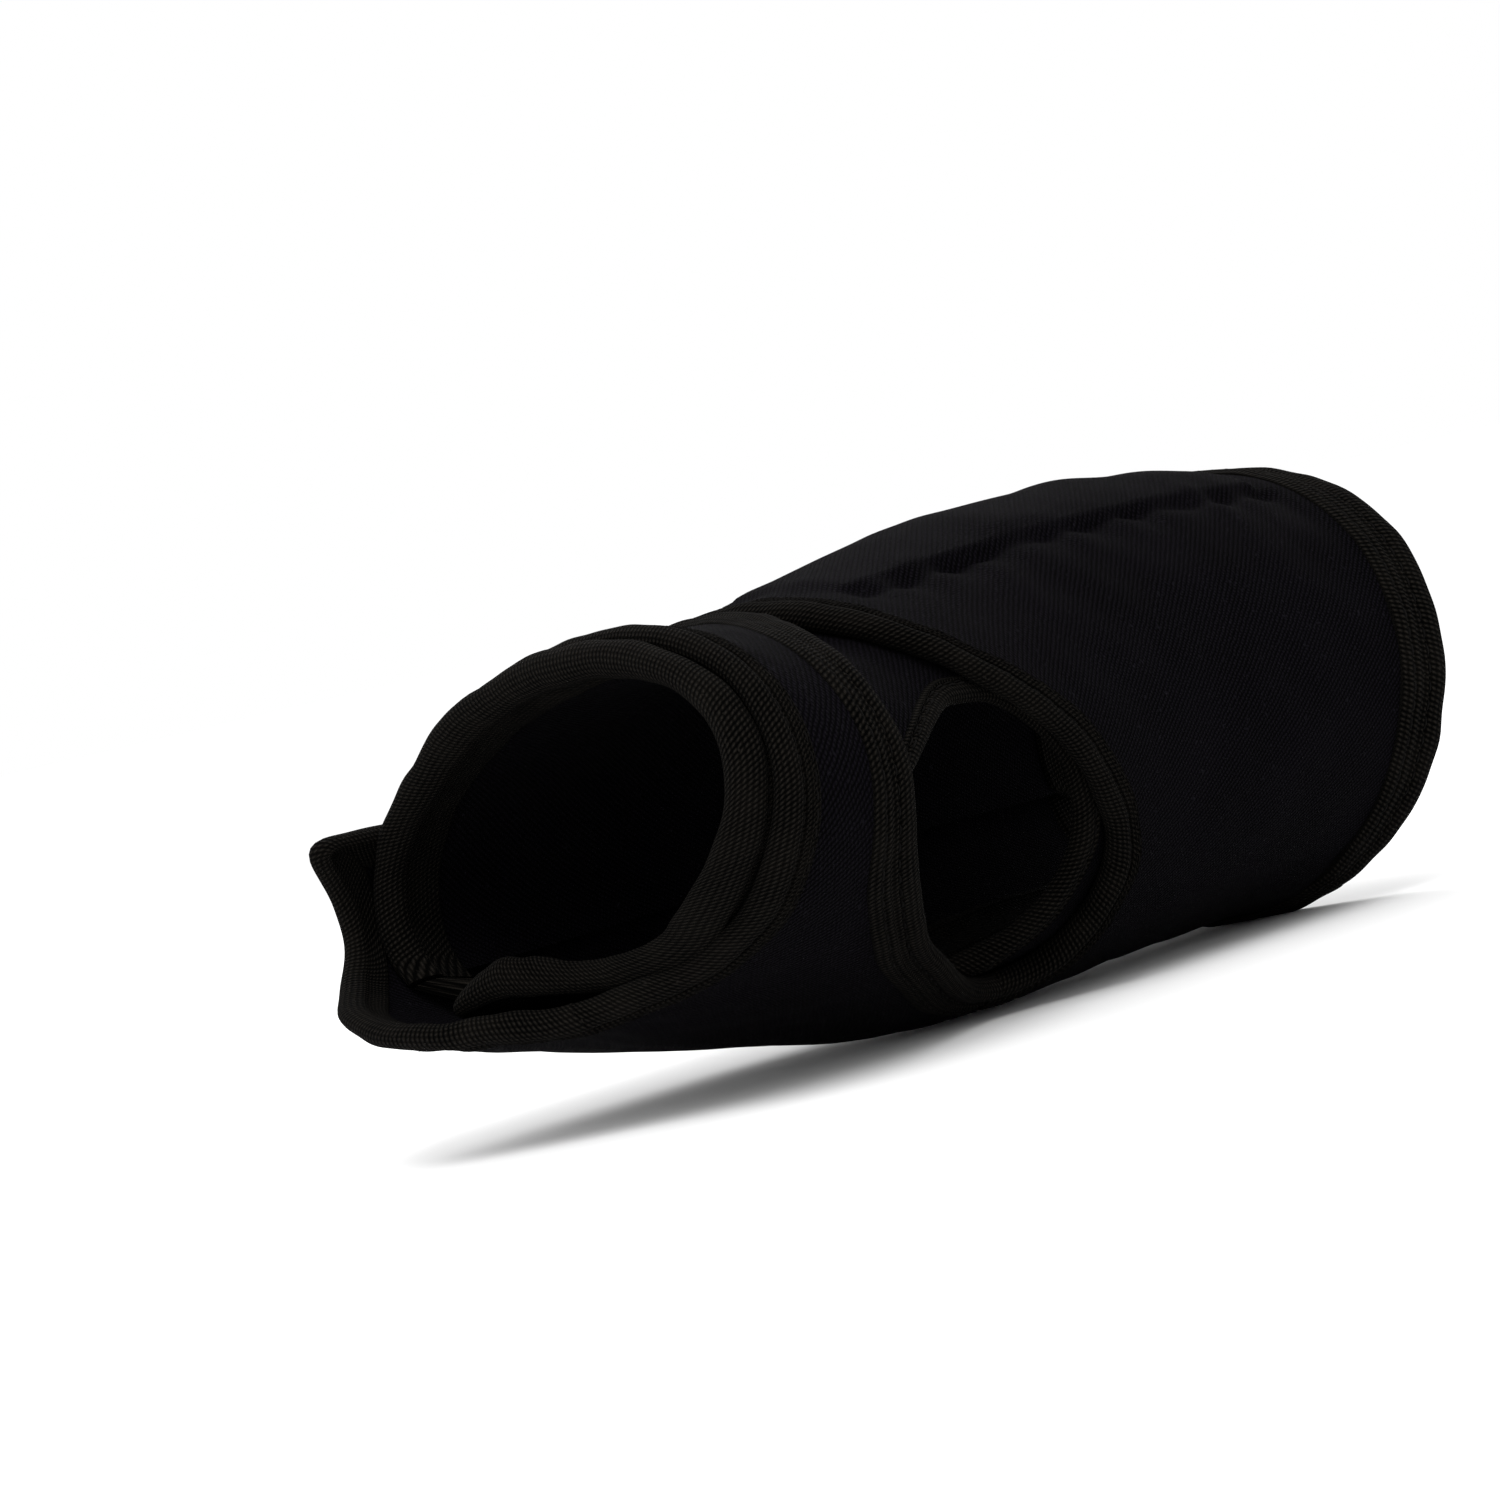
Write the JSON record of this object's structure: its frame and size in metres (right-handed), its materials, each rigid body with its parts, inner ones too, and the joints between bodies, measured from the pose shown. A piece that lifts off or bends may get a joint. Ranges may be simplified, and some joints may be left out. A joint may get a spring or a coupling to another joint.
{
  "type": "wrist support brace",
  "caption": "Right-hand wrist support brace: a padded wrap with a thumb hole, two hook-fastened flaps, bound edges and a stiffening stay in a pocket over the back of the wrist.",
  "frame": {"origin": "on the arm's axis at the wrist crease, inside the brace", "axes": "+X up the forearm, -X towards the fingers, -Y the thumb side, +Z the back of the hand (palm down)"},
  "size_m": [0.1745, 0.0986, 0.0711],
  "materials": {
    "shell_cloth": "knit laminated on neoprene",
    "lining_cloth": "knit laminated on neoprene",
    "edge_tape": "folded knitted tape",
    "hook": "hook tape",
    "stay": "satin",
    "stay_cap": "dipped"
  },
  "bodies": {
    "wrap": {"inner_wrap": "lining_cloth", "inner_rim_binding": "edge_tape", "palm_end_binding": "edge_tape", "inner_cuff_binding": "edge_tape", "thumb_hole_binding": "edge_tape", "palmar_panel": "shell_cloth", "palm_rim_binding": "edge_tape", "palm_cuff_binding": "edge_tape", "palm_thumb_binding": "edge_tape", "ulnar_edge_binding": "edge_tape", "ulnar_seam_tape": "edge_tape"},
    "hand_flap": {"hand_flap": "shell_cloth", "hand_rim_binding": "edge_tape", "hand_thumb_binding": "edge_tape", "hand_end_binding": "edge_tape", "hand_hook_patch": "hook"},
    "cuff_flap": {"cuff_flap": "shell_cloth", "cuff_thumb_binding": "edge_tape", "cuff_rim_binding": "edge_tape", "cuff_end_binding": "edge_tape", "cuff_hook_patch": "hook", "stay_pocket": "shell_cloth", "dorsal_stay": "stay", "stay_cap_hand": "stay_cap", "stay_cap_cuff": "stay_cap"}
  },
  "joints": [
    {"name": "hand_flap_hinge", "type": "hinge", "parent": "wrap", "child": "hand_flap", "pos_m": [-0.0587, -0.03708, -0.01191], "axis": [0.9695, -0.2386, -0.0551], "range_deg": [0, 90]},
    {"name": "cuff_flap_hinge", "type": "hinge", "parent": "wrap", "child": "cuff_flap", "pos_m": [0.04425, -0.03216, -0.0171], "axis": [0.9999, 0.0128, 0.0068], "range_deg": [0, 90]}
  ]
}
